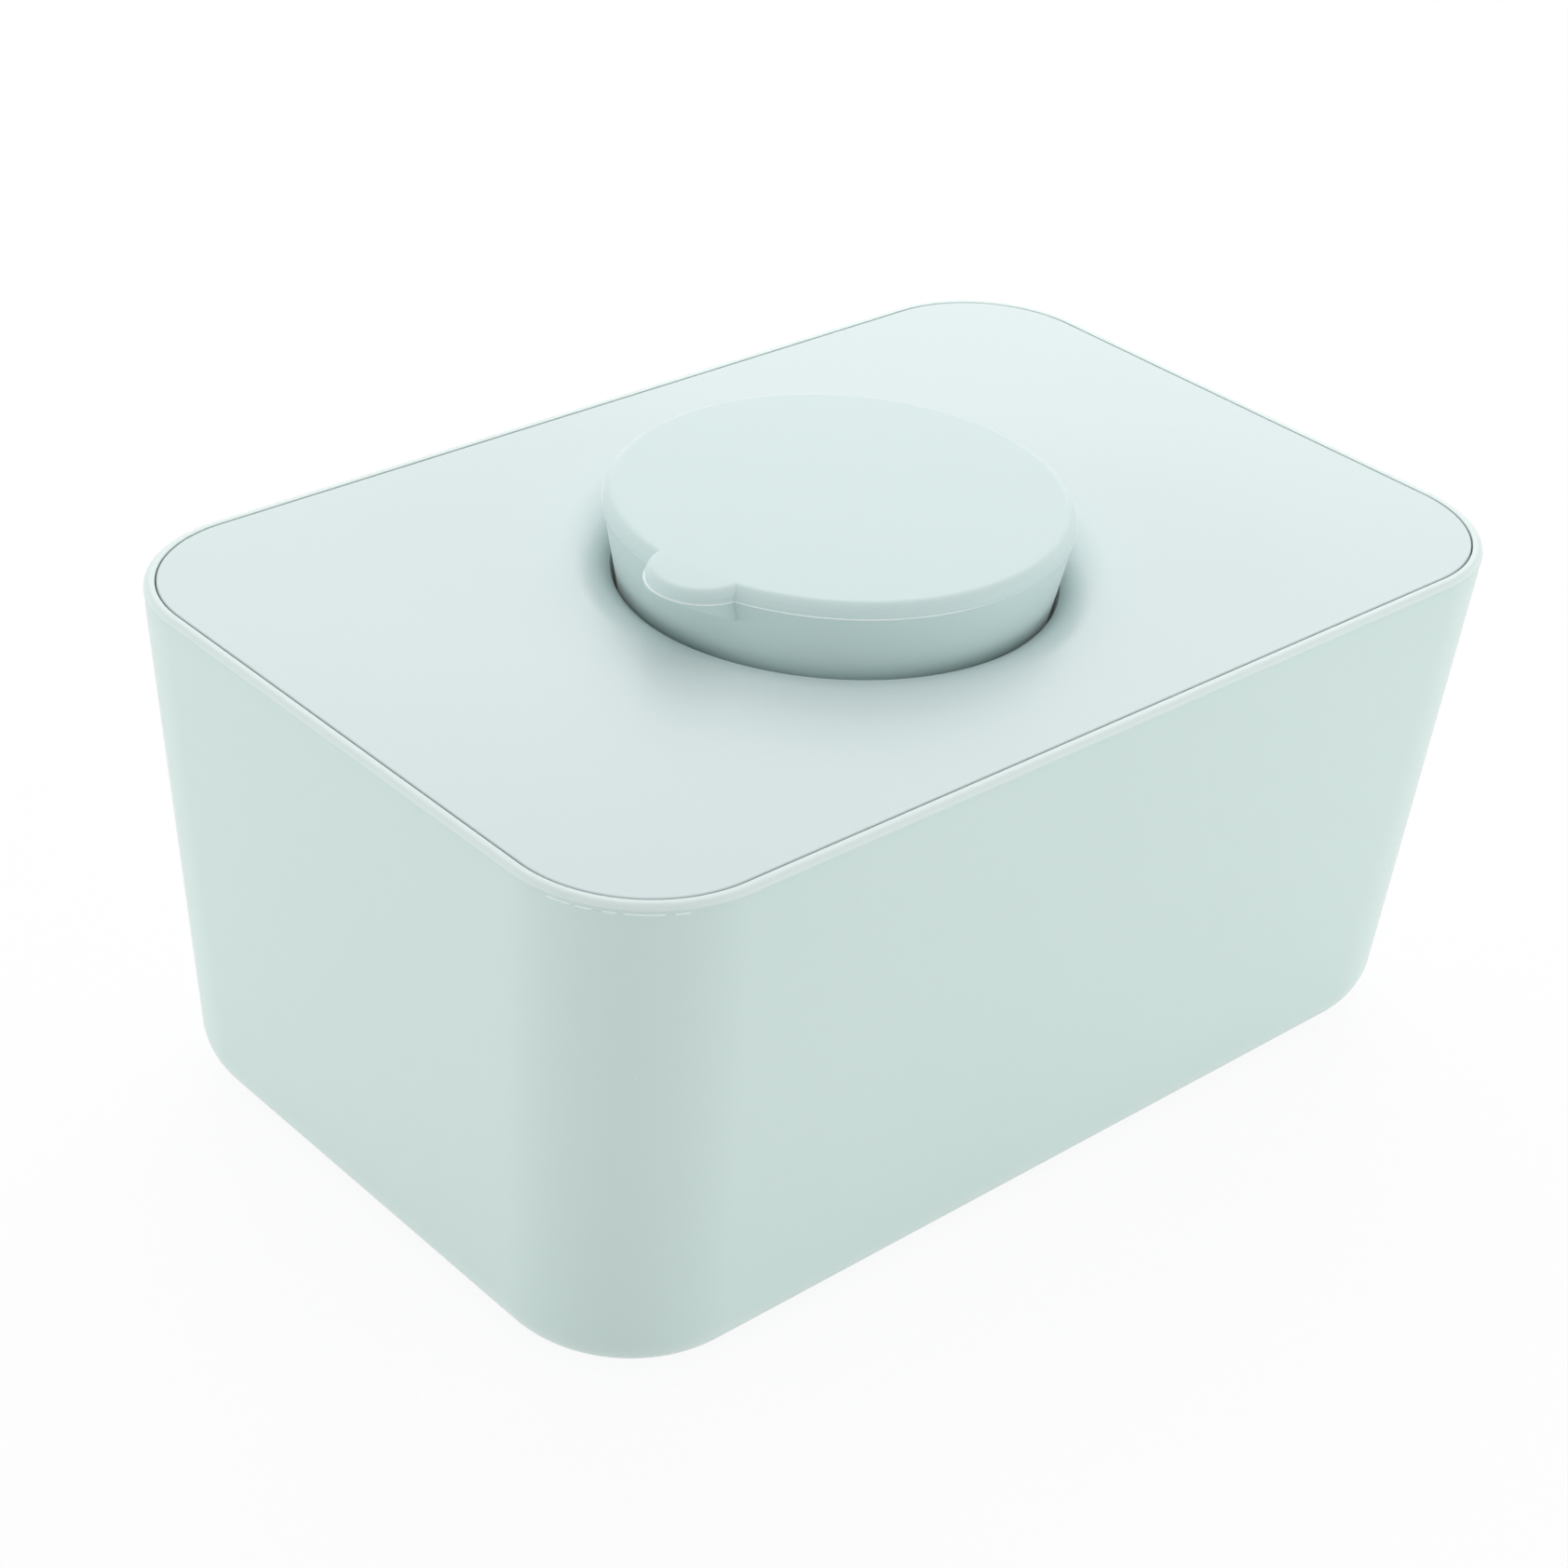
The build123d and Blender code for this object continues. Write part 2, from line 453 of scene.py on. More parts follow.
def combine(piece: bpy.types.Object, tool: bpy.types.Object, how: Cut) -> None:
    """Joins a closed tool to a closed piece or takes it away, and removes the tool.

    Args:
        piece: The piece that changes.
        tool: The other closed object.
        how: Which of the two is done.
    """
    modifier = piece.modifiers.new("combine", "BOOLEAN")
    modifier.operation = how.value
    modifier.object = tool
    modifier.solver = "EXACT"
    graph = bpy.context.evaluated_depsgraph_get()
    mesh = bpy.data.meshes.new_from_object(piece.evaluated_get(graph))
    piece.modifiers.clear()
    piece.data = mesh
    bpy.data.objects.remove(tool)


def even_shading(piece: bpy.types.Object) -> None:
    """Lets the large faces of a piece set its shading, as on a real moulded wall."""
    modifier = piece.modifiers.new("even_shading", "WEIGHTED_NORMAL")
    modifier.mode = "FACE_AREA"
    modifier.keep_sharp = True


def place(
    piece: bpy.types.Object, body: Body, slot: Slot, nodes: Sequence[str] = ()
) -> bpy.types.Object:
    """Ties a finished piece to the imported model.

    Args:
        piece: The piece.
        body: The body that it moves with.
        slot: The record's material slot for the piece. It is not used.
        nodes: The nodes that it stands for.

    Returns:
        The piece.
    """
    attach(piece, body.value)
    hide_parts(*nodes)
    log.info("%s: %d faces", piece.name, len(piece.data.polygons))
    return piece


def linear(colour: str) -> tuple[float, float, float, float]:
    """Turns an sRGB hex colour into linear light.

    Args:
        colour: Six hex digits after a number sign.

    Returns:
        Red, green, blue and an alpha of one.
    """
    parts = [int(colour[start : start + 2], 16) / 255 for start in (1, 3, 5)]
    light = [part / 12.92 if part <= 0.04045 else ((part + 0.055) / 1.055) ** 2.4 for part in parts]
    return (*light, 1.0)


def add_node(
    tree: bpy.types.NodeTree,
    kind: str,
    settings: dict[str, object] | None = None,
    inputs: dict[str | int, object] | None = None,
) -> bpy.types.Node:
    """Adds a node with its settings and inputs.

    Args:
        tree: The material's or the world's nodes.
        kind: The node's type.
        settings: Properties of the node.
        inputs: Its inputs by name or number. A socket is linked and any other value is set.

    Returns:
        The node.
    """
    node = tree.nodes.new(kind)
    for name, value in (settings or {}).items():
        setattr(node, name, value)
    for name, value in (inputs or {}).items():
        if isinstance(value, bpy.types.NodeSocket):
            tree.links.new(value, node.inputs[name])
        else:
            node.inputs[name].default_value = value
    return node


@dataclass(frozen=True)
class SatinSkin:
    """Satin surface with a fine skin texture, faint clouds in its tone and a few pale specks."""

    name: str
    colour: str
    cloud_colour: str
    roughness: float = 0.34
    roughness_spread: float = 0.05
    index: float = 1.49
    sheen: float = 0.3
    sheen_roughness: float = 0.2
    texture_size: float = 0.45 * MM
    texture_height: float = 0.006 * MM
    cloud_size: float = 70.0 * MM
    cloud_detail: float = 3.0
    speck_colour: str = "#F4F8F7"
    speck_spacing: float = 9.0 * MM
    speck_size: float = 0.16 * MM
    speck_cover: float = 0.5

    def specked_tone(
        self, tree: bpy.types.NodeTree, place_in: bpy.types.NodeSocket, clouds: bpy.types.NodeSocket
    ) -> bpy.types.NodeSocket:
        """Makes the colour: two close tones in slow clouds, with specks scattered over them.

        Args:
            tree: The material's nodes.
            place_in: The object coordinates.
            clouds: The cloud pattern.

        Returns:
            The colour.
        """
        tone = add_node(
            tree,
            "ShaderNodeMix",
            settings={"data_type": "RGBA"},
            inputs={0: clouds, 6: linear(self.cloud_colour), 7: linear(self.colour)},
        )
        cells = add_node(
            tree,
            "ShaderNodeTexVoronoi",
            inputs={"Vector": place_in, "Scale": 1 / self.speck_spacing, "Randomness": 1.0},
        )
        specks = add_node(
            tree,
            "ShaderNodeMapRange",
            inputs={
                "Value": cells.outputs["Distance"],
                "From Min": self.speck_size / self.speck_spacing,
                "From Max": 0.5 * self.speck_size / self.speck_spacing,
                "To Min": 0.0,
                "To Max": self.speck_cover,
            },
        )
        specked = add_node(
            tree,
            "ShaderNodeMix",
            settings={"data_type": "RGBA"},
            inputs={0: specks.outputs[0], 6: tone.outputs[2], 7: linear(self.speck_colour)},
        )
        return specked.outputs[2]

    def build(self) -> bpy.types.Material:
        """Makes the material, or takes it where another piece has it already."""
        material = bpy.data.materials.get(self.name)
        if material is not None:
            return material
        material = bpy.data.materials.new(self.name)
        material.use_nodes = True
        tree = material.node_tree
        tree.nodes.clear()
        place_in = add_node(tree, "ShaderNodeTexCoord").outputs["Object"]
        clouds = add_node(
            tree,
            "ShaderNodeTexNoise",
            inputs={"Vector": place_in, "Scale": 1 / self.cloud_size, "Detail": self.cloud_detail},
        ).outputs[0]
        grain = add_node(
            tree,
            "ShaderNodeTexNoise",
            inputs={"Vector": place_in, "Scale": 1 / self.texture_size, "Detail": 2.0},
        )
        bump = add_node(
            tree,
            "ShaderNodeBump",
            inputs={"Strength": 1.0, "Distance": self.texture_height, "Height": grain.outputs[0]},
        )
        satin = add_node(
            tree,
            "ShaderNodeMapRange",
            inputs={
                "Value": clouds,
                "To Min": self.roughness - self.roughness_spread,
                "To Max": self.roughness + self.roughness_spread,
            },
        )
        shader = add_node(
            tree,
            "ShaderNodeBsdfPrincipled",
            inputs={
                "Base Color": self.specked_tone(tree, place_in, clouds),
                "Roughness": satin.outputs[0],
                "IOR": self.index,
                "Sheen Weight": self.sheen,
                "Sheen Roughness": self.sheen_roughness,
                "Normal": bump.outputs[0],
            },
        )
        add_node(tree, "ShaderNodeOutputMaterial", inputs={"Surface": shader.outputs["BSDF"]})
        return material


@dataclass(frozen=True)
class MouldedPlastic(SatinSkin):
    """Satin polypropylene.

    The mould's fine spark texture breaks the gloss up into an even, dry sheen. Slow flow in the
    mould leaves the faint clouds, and the specks are dust from handling.
    """


@dataclass(frozen=True)
class Silicone(SatinSkin):
    """Cast silicone rubber.

    Its skin scatters light softly and looks paler where it is seen at a low angle. The specks
    are the fine lint that clings to it.
    """

    roughness: float = 0.36
    index: float = 1.41
    sheen: float = 0.45
    sheen_roughness: float = 0.35
    texture_size: float = 0.6 * MM
    texture_height: float = 0.005 * MM
    cloud_size: float = 45.0 * MM
    cloud_detail: float = 2.0
    speck_colour: str = "#F6F9F8"
    speck_spacing: float = 7.0 * MM
    speck_size: float = 0.14 * MM


# Polypropylene tinted a pale grey green. Light goes a little way in, so it looks chalky.
TUB_FINISH = MouldedPlastic("moulded_polypropylene_tub", "#CDDFDB", "#C9DCD8")
# The same polypropylene in a paler tone, a painted highlight along the tub's rim and the throat's
# edge.
PAINTED_HIGHLIGHT_FINISH = MouldedPlastic("polypropylene_painted_highlight", "#DBE9E6", "#D8E6E3")
# Polypropylene squeezed out thin at the mould's joint, coloured almost white so the burr reads as a
# bright broken line.
BURR_FINISH = MouldedPlastic("moulded_polypropylene_burr", "#F6FDFB", "#F2FAF8")
# The lid's polypropylene, a copy of the tub's a shade greyer. The greyer tone is painted light, the
# paler look of the lid's brightly lit top.
LID_FINISH = MouldedPlastic("moulded_polypropylene_lid", "#CFDDDD", "#CBDADA")
# Silicone in a bluer tint. Its soft skin gives the top an even bloom without a highlight.
CAP_FINISH = Silicone("satin_silicone_cap", "#CADDDC", "#C6DAD8")
# Silicone pressed out thin between the mould's halves, which lets light through. Its pale tone is
# partly that thin silicone and partly a painted highlight along the parting line.
FLASH_AND_HIGHLIGHT_FINISH = Silicone("silicone_parting_line_and_highlight", "#EAF3F2", "#E4EFED")
# Softer silicone, a little deeper in tone than the cap's.
OUTLET_FINISH = Silicone("satin_silicone_outlet", "#C3D8D6", "#BED4D1")
# Untinted silicone, milky and greyer.
SEAL_FINISH = Silicone("satin_silicone_seal", "#DDE6E5", "#D6E0DF")
# Untinted silicone with a matt sole, which grips and gives no highlight.
FOOT_FINISH = Silicone("soft_silicone_foot", "#D2DCDB", "#CAD5D4", roughness=0.62)


@dataclass
class Tub:
    """Open tub: tapered walls, a rounded base, a ledge inside the rim and a flat floor."""

    envelope: Envelope
    base_taper: float = 5.4 * MM
    corner_pull: float = 5.1 * MM
    base_round: float = 10.2 * MM
    rim_outer_round: float = 1.2 * MM
    rim_inner_round: float = 0.2 * MM
    # Depth below the rim's top that gets the paler material, a painted highlight.
    rim_highlight_depth: float = 0.9 * MM
    wall_at_base: float = 2.4 * MM
    floor_thickness: float = 2.6 * MM
    floor_round: float = 7.8 * MM
    undercut_drop: float = 1.25 * MM
    undercut_height: float = 0.25 * MM
    undercut_depth: float = 0.2 * MM
    undercut_fade: float = 2.2 * MM
    burr_drop: float = 1.4 * MM
    burr_height: float = 0.38 * MM
    burr_proud: float = 0.22 * MM
    burr_dashes: tuple[Point, ...] = (
        (197.0, 206.0),
        (208.0, 213.5),
        (217.0, 222.0),
        (224.0, 238.0),
        (241.0, 246.5),
    )
    foot_clearance: float = 0.15 * MM
    gate_radius: float = 4.0 * MM
    gate_depth: float = 0.5 * MM
    gate_nib_radius: float = 0.8 * MM
    gate_nib_taper: float = 0.8
    gate_nib_height: float = 0.3 * MM
    flat_beside: float = 3.0
    corner_steps: int = 28
    pocket_steps: int = 72
    gate_steps: int = 48

    def lean(self, level: float) -> float:
        """How far down the tapered wall a level is, from 0 at the rim to 1 at the base."""
        return (self.envelope.rim_level - level) / self.envelope.tub_height

    def outline(self, inset: float, level: float) -> Outline:
        """Outline at a level.

        Args:
            inset: Its distance in from the rim's outline.
            level: Its level.

        Returns:
            The outline, whose corners draw in with the taper.
        """
        size = self.envelope
        return Outline(
            size.rim_length / 2 - inset,
            size.rim_width / 2 - inset,
            size.rim_corner - inset + self.corner_pull * self.lean(level),
            level,
        )

    def wall_corners(self) -> list[Corner]:
        """Corners of the section from the underside, over the rim and down to the floor."""
        size = self.envelope
        floor = size.foot_proud + self.floor_thickness
        floor_inset = self.base_taper * self.lean(floor) + self.wall_at_base
        top = size.rim_level - self.undercut_drop
        undercut = [
            (top - self.undercut_height - self.undercut_fade, 0.0),
            (top - self.undercut_height, self.undercut_depth),
            (top, 0.0),
        ]
        return [
            (self.base_taper + self.flat_beside * self.base_round, size.foot_proud, 0.0),
            (self.base_taper, size.foot_proud, self.base_round),
            *[(self.base_taper * self.lean(level) + deep, level, 0.0) for level, deep in undercut],
            (0.0, size.rim_level, self.rim_outer_round),
            (size.rim_lip, size.rim_level, self.rim_inner_round),
            (size.rim_lip, size.ledge_level, 0.0),
            (size.wall_under_lid, size.ledge_level, self.rim_inner_round),
            (floor_inset, floor, self.floor_round),
            (floor_inset + self.flat_beside * self.floor_round, floor, 0.0),
        ]

    def open_underside(self, bm: bmesh.types.BMesh) -> None:
        """Sinks the foot pockets and the gate into the underside.

        Args:
            bm: The tub's mesh, open at its underside.
        """
        size = self.envelope
        base = size.foot_proud
        pocket = size.foot_radius + self.foot_clearance
        roof = size.foot_thickness
        section = [(pocket, base), (pocket, roof), (0.0, roof)]
        for middle in size.foot_places().values():
            spin(bm, section, self.pocket_steps, middle)
        gate_roof = base + self.gate_depth
        nib = gate_roof - self.gate_nib_height
        spin(
            bm,
            [
                (self.gate_radius, base),
                (self.gate_radius, gate_roof),
                (self.gate_nib_radius, gate_roof),
                (self.gate_nib_radius * self.gate_nib_taper, nib),
                (0.0, nib),
            ],
            self.gate_steps,
        )
        fill_level(bm, base)

    def build_burr(self) -> bpy.types.Object:
        """Builds the fine broken burr that the mould's joint left on the near corner."""
        size = self.envelope
        level = size.rim_level - self.burr_drop
        around = self.outline(self.base_taper * self.lean(level) + self.undercut_depth / 2, level)
        middle_x = around.corner - around.half_length
        middle_y = around.corner - around.half_width
        section = [
            (-self.undercut_depth, -self.burr_height / 4),
            (self.burr_proud, 0.0),
            (-self.undercut_depth, self.burr_height),
        ]
        bm = bmesh.new()
        for start, end in self.burr_dashes:
            steps = max(LEAST_STEPS, math.ceil(end - start))
            rings = []
            for step in range(steps + 1):
                angle = math.radians(start + (end - start) * step / steps)
                rings.append(
                    [
                        bm.verts.new(
                            (
                                middle_x + (around.corner + out) * math.cos(angle),
                                middle_y + (around.corner + out) * math.sin(angle),
                                level + rise,
                            )
                        )
                        for out, rise in section
                    ]
                )
            bm.faces.new(rings[0])
            bm.faces.new(reversed(rings[-1]))
            for before, after in zip(rings, rings[1:]):
                for side in range(len(section)):
                    nearby = (side + 1) % len(section)
                    bm.faces.new((before[side], after[side], after[nearby], before[nearby]))
        tidy_mesh(bm)
        return to_object(bm, "tub_burr", BURR_FINISH)

    def paint_rim_highlight(self, mesh: bpy.types.Mesh) -> None:
        """Gives the rim's top a paler material, a painted highlight along the rim.

        Args:
            mesh: The tub's finished mesh.
        """
        low = self.envelope.rim_level - self.rim_highlight_depth
        for face in mesh.polygons:
            if all(mesh.vertices[corner].co.z > low for corner in face.vertices):
                face.material_index = 1

    def build(self) -> list[bpy.types.Object]:
        """Builds the tub."""
        bm = bmesh.new()
        path = soften(self.wall_corners())[1:-1]
        underside, _ = sweep(bm, [self.outline(*point) for point in path], self.corner_steps)
        bmesh.ops.delete(bm, geom=[underside], context="FACES_ONLY")
        self.open_underside(bm)
        tidy_mesh(bm)
        tub = to_object(bm, "tub_shell", TUB_FINISH, PAINTED_HIGHLIGHT_FINISH)
        self.paint_rim_highlight(tub.data)
        even_shading(tub)
        return [
            place(tub, Body.TUB, Slot.TUB, ["tub"]), place(self.build_burr(), Body.TUB, Slot.TUB)
        ]


@dataclass
class Feet:
    """Four soft feet with grip rings under them."""

    envelope: Envelope
    edge_round: float = 0.4 * MM
    ring_depth: float = 0.18 * MM
    ring_radii: tuple[float, ...] = (2.2 * MM, 4.2 * MM)
    ring_width: float = 0.7 * MM
    round_steps: int = 72

    def profile(self) -> list[Point]:
        """Section of a foot from the middle of its top to the middle of its sole."""
        size = self.envelope
        sole: list[Corner] = []
        for radius in reversed(self.ring_radii):
            sole += [
                (radius + self.ring_width / 2, 0.0, 0.0),
                (radius + self.ring_width / 4, self.ring_depth, 0.0),
                (radius - self.ring_width / 4, self.ring_depth, 0.0),
                (radius - self.ring_width / 2, 0.0, 0.0),
            ]
        return soften(
            [
                (0.0, size.foot_thickness, 0.0),
                (size.foot_radius, size.foot_thickness, 0.0),
                (size.foot_radius, 0.0, self.edge_round),
                *sole,
                (0.0, 0.0, 0.0),
            ]
        )

    def build(self) -> list[bpy.types.Object]:
        """Builds the feet."""
        feet = []
        for corner, middle in self.envelope.foot_places().items():
            bm = bmesh.new()
            spin(bm, self.profile(), self.round_steps, middle)
            tidy_mesh(bm, SOFT_CRISP_ANGLE)
            foot = to_object(bm, f"foot_pad_{corner}", FOOT_FINISH)
            even_shading(foot)
            feet.append(place(foot, Body.TUB, Slot.FOOT, [f"foot_{corner}"]))
        return feet


@dataclass
class Lid:
    """Flush lid: flat panel, rolled lip, round well, grooved skirt and ribs."""

    envelope: Envelope
    edge_round: float = 0.25 * MM
    skirt_wall: float = 2.6 * MM
    skirt_depth: float = 9.0 * MM
    small_round: float = 0.5 * MM
    well_wall: float = 2.0 * MM
    cap_foot_clearance: float = 0.35 * MM
    seat_round: float = 0.25 * MM
    throat_round: float = 0.35 * MM
    # Reach round the throat's edge that gets the paler material, a painted highlight.
    throat_highlight_reach: float = 0.32 * MM
    rib_thickness: float = 1.2 * MM
    rib_height: float = 4.0 * MM
    rib_round: float = 0.3 * MM
    rib_bite: float = 0.6 * MM
    rib_count: int = 8
    rib_round_steps: int = 3
    rib_crisp_angle: float = 40.0
    least_share: float = 0.1
    corner_steps: int = 28
    lip_steps: int = 24
    round_steps: int = 192

    def edge_corners(self) -> list[Corner]:
        """Corners of the section from the lid's top, round its edge and down its skirt."""
        size = self.envelope
        edge = size.rim_lip + size.lid_gap
        skirt = edge + size.skirt_inset
        groove = skirt + size.groove_depth
        groove_floor = size.groove_top - size.groove_height
        skirt_end = size.ledge_level - self.skirt_depth
        inside = skirt + self.skirt_wall
        return [
            (edge + 4 * self.edge_round, size.rim_level, 0.0),
            (edge, size.rim_level, self.edge_round),
            (edge, size.ledge_level, self.edge_round / 2),
            (skirt, size.ledge_level, self.edge_round / 2),
            (skirt, size.groove_top, 0.0),
            (groove, size.groove_top, 0.0),
            (groove, groove_floor, 0.0),
            (skirt, groove_floor, 0.0),
            (skirt, skirt_end, self.small_round),
            (inside, skirt_end, self.small_round),
            (inside, size.ledge_level, 0.0),
        ]

    def well_path(self) -> list[Point]:
        """Section of the rolled lip, the well's wall and its floor, from top to underside."""
        size = self.envelope
        seat = size.cap_outer_radius(size.seat_level) + self.cap_foot_clearance
        under = size.lip_radius - size.lid_thickness
        turned = 90.0 + size.lip_turn
        over_lip = arc(size.lip_middle, (size.lip_radius,) * 2, 90.0, turned, self.lip_steps)
        under_lip = arc(size.lip_middle, (under,) * 2, turned, 90.0, self.lip_steps // 2)
        floor = soften(
            [
                (*over_lip[-2], 0.0),
                (*over_lip[-1], self.throat_round),
                (seat, size.seat_level, self.seat_round),
                (size.outlet_bore, size.seat_level, self.seat_round),
                (size.outlet_bore, size.well_underside, self.seat_round),
                (seat + self.well_wall, size.well_underside, self.small_round),
                (*under_lip[0], 0.0),
            ]
        )
        return over_lip[:-1] + floor[1:-1] + under_lip

    def rib_reach(self, angle: float) -> float:
        """Distance from the axis to the middle of the skirt's wall.

        Args:
            angle: The rib's direction in radians.

        Returns:
            The distance along that direction.
        """
        size = self.envelope
        inset = size.rim_lip + size.lid_gap + size.skirt_inset + self.skirt_wall / 2
        sides = ((size.rim_length, math.cos(angle)), (size.rim_width, math.sin(angle)))
        return min(
            (side / 2 - inset) / abs(share)
            for side, share in sides
            if abs(share) > self.least_share
        )

    def build_ribs(self) -> bpy.types.Object:
        """Builds the ribs under the panel, from the well out to the skirt, as one object."""
        size = self.envelope
        root = size.throat_radius + size.lid_thickness - self.rib_bite
        bm = bmesh.new()
        for index in range(self.rib_count):
            angle = math.tau * index / self.rib_count
            reach = self.rib_reach(angle)
            middle = Matrix.Translation(
                ((root + reach) / 2, 0.0, size.ledge_level - self.rib_height / 2)
            )
            shape = Matrix.Diagonal((reach - root, self.rib_thickness, self.rib_height, 1.0))
            place_at = Matrix.Rotation(angle, 4, "Z") @ middle @ shape
            bmesh.ops.create_cube(bm, size=1.0, matrix=place_at)
        low = size.ledge_level - self.rib_height
        lower_edges = [
            edge
            for edge in bm.edges
            if all(abs(v.co.z - low) < LEVEL_TOLERANCE for v in edge.verts)
            and edge.calc_length() > 2 * self.rib_thickness
        ]
        bmesh.ops.bevel(
            bm,
            geom=lower_edges,
            offset=self.rib_round,
            affect="EDGES",
            segments=self.rib_round_steps,
            profile=0.5,
            material=-1,
        )
        tidy_mesh(bm, self.rib_crisp_angle)
        ribs = to_object(bm, "lid_ribs", LID_FINISH)
        even_shading(ribs)
        return ribs

    def paint_throat_highlight(self, mesh: bpy.types.Mesh) -> None:
        """Gives the throat's edge a paler material, a painted highlight along the edge.

        Args:
            mesh: The lid's finished mesh.
        """
        edge = Vector((self.envelope.throat_radius, self.envelope.lip_level))
        for face in mesh.polygons:
            here = Vector((face.center.xy.length, face.center.z))
            if (here - edge).length < self.throat_highlight_reach:
                face.material_index = 1

    def build(self) -> list[bpy.types.Object]:
        """Builds the lid and its ribs."""
        size = self.envelope
        bm = bmesh.new()
        path = soften(self.edge_corners())[1:]
        ends = sweep(bm, [size.inset_outline(*point) for point in path], self.corner_steps)
        bmesh.ops.delete(bm, geom=list(ends), context="FACES_ONLY")
        spin(bm, self.well_path(), self.round_steps)
        fill_level(bm, size.rim_level)
        fill_level(bm, size.ledge_level)
        tidy_mesh(bm)
        lid = to_object(bm, "lid_plate", LID_FINISH, PAINTED_HIGHLIGHT_FINISH)
        self.paint_throat_highlight(lid.data)
        even_shading(lid)
        return [
            place(lid, Body.LID, Slot.LID, ["lid_panel"]),
            place(self.build_ribs(), Body.LID, Slot.LID),
        ]


@dataclass
class LidSeal:
    """Soft ring in the skirt's groove, with two lips that face the tub's wall."""

    envelope: Envelope
    slack: float = 0.1 * MM
    lip_height: float = 0.9 * MM
    wall_clearance: float = 0.7 * MM
    tip_round: float = 0.28 * MM
    corner_steps: int = 24

    def build(self) -> list[bpy.types.Object]:
        """Builds the seal."""
        size = self.envelope
        front = size.rim_lip + size.lid_gap + size.skirt_inset
        back = front + size.groove_depth - self.slack
        tip = size.wall_under_lid + self.wall_clearance
        low = size.groove_top - size.groove_height
        high = low + size.groove_height - 2 * self.slack
        low_lip = low + self.slack
        corners = [
            (back, (low + high) / 2, 0.0),
            (back, low, 0.0),
            (front, low, 0.0),
            (tip, low_lip, self.tip_round),
            (tip, low_lip + self.lip_height, self.tip_round),
            (front, low_lip + self.lip_height, self.tip_round),
            (front, high - self.lip_height, self.tip_round),
            (tip, high - self.lip_height, self.tip_round),
            (tip, high, self.tip_round),
            (back, high, 0.0),
            (back, (low + high) / 2, 0.0),
        ]
        bm = bmesh.new()
        outlines = [size.inset_outline(*point) for point in soften(corners)]
        ends = sweep(bm, outlines, self.corner_steps)
        bmesh.ops.delete(bm, geom=list(ends), context="FACES_ONLY")
        tidy_mesh(bm, SOFT_CRISP_ANGLE)
        seal = to_object(bm, "lid_lip_seal", SEAL_FINISH)
        even_shading(seal)
        return [place(seal, Body.LID, Slot.SEAL, ["lid_seal"])]


@dataclass
class Outlet:
    """Soft grommet in the well's floor, with a slotted skin that holds the next wipe."""

    envelope: Envelope
    flange: float = 2.2 * MM
    flange_thickness: float = 1.2 * MM
    bore_slack: float = 0.2 * MM
    dish_rim: float = 3.0 * MM
    skin: float = 1.4 * MM
    edge_round: float = 0.4 * MM
    slot_length: float = 34.0 * MM
    slot_width: float = 8.0 * MM
    finger_slit: float = 1.2 * MM
    finger_length: float = 4.5 * MM
    finger_count: int = 3
    finger_pitch: float = 9.0 * MM
    slot_end_share: float = 0.999
    slit_end_share: float = 0.9
    round_steps: int = 144
    cutter_steps: int = 16

    def grommet_profile(self) -> list[Point]:
        """Section of the grommet from the middle of its top to the middle of its underside."""
        size = self.envelope
        body = size.outlet_bore - self.bore_slack
        flange = size.outlet_bore + self.flange
        dish = body - self.dish_rim
        top = size.seat_level + self.flange_thickness
        bottom = size.well_underside - self.flange_thickness
        return soften(
            [
                (0.0, size.seat_level, 0.0),
                (dish, size.seat_level, self.edge_round),
                (dish, top, self.edge_round),
                (flange, top, self.edge_round),
                (flange, size.seat_level, 0.0),
                (body, size.seat_level, 0.0),
                (body, size.well_underside, 0.0),
                (flange, size.well_underside, 0.0),
                (flange, bottom, self.edge_round),
                (dish, bottom, self.edge_round),
                (dish, size.seat_level - self.skin, self.edge_round),
                (0.0, size.seat_level - self.skin, 0.0),
            ]
        )

    def cutter(
        self, name: str, half_length: float, half_width: float, across: float, x: float
    ) -> bpy.types.Object:
        """Upright block with rounded ends that is taken out of the skin.

        Args:
            name: The block's name.
            half_length: Half its length along X.
            half_width: Half its width along Y.
            across: Radius of its corners.
            x: Its middle along X.

        Returns:
            The block.
        """
        size = self.envelope
        low = size.seat_level - 2 * self.skin
        high = size.seat_level + self.skin
        bm = bmesh.new()
        sweep(
            bm,
            [
                Outline(half_length, half_width, across, low),
                Outline(half_length, half_width, across, high),
            ],
            self.cutter_steps,
        )
        bmesh.ops.translate(bm, vec=(x, 0.0, 0.0), verts=bm.verts)
        tidy_mesh(bm)
        return to_object(bm, name)

    def build(self) -> list[bpy.types.Object]:
        """Builds the outlet."""
        bm = bmesh.new()
        spin(bm, self.grommet_profile(), self.round_steps)
        tidy_mesh(bm)
        outlet = to_object(bm, "outlet_grommet", OUTLET_FINISH)
        slot_half = self.slot_width / 2
        slot_end = slot_half * self.slot_end_share
        slot = self.cutter("slot", self.slot_length / 2, slot_half, slot_end, 0.0)
        combine(outlet, slot, Cut.TAKE_AWAY)
        for index in range(self.finger_count):
            x = (index - (self.finger_count - 1) / 2) * self.finger_pitch
            slit = self.cutter(
                "slit",
                self.finger_slit / 2,
                slot_half + self.finger_length,
                self.finger_slit / 2 * self.slit_end_share,
                x,
            )
            combine(outlet, slit, Cut.TAKE_AWAY)
        retidy(outlet, MERGE_DISTANCE)
        even_shading(outlet)
        return [place(outlet, Body.LID, Slot.OUTLET, ["outlet_insert"])]


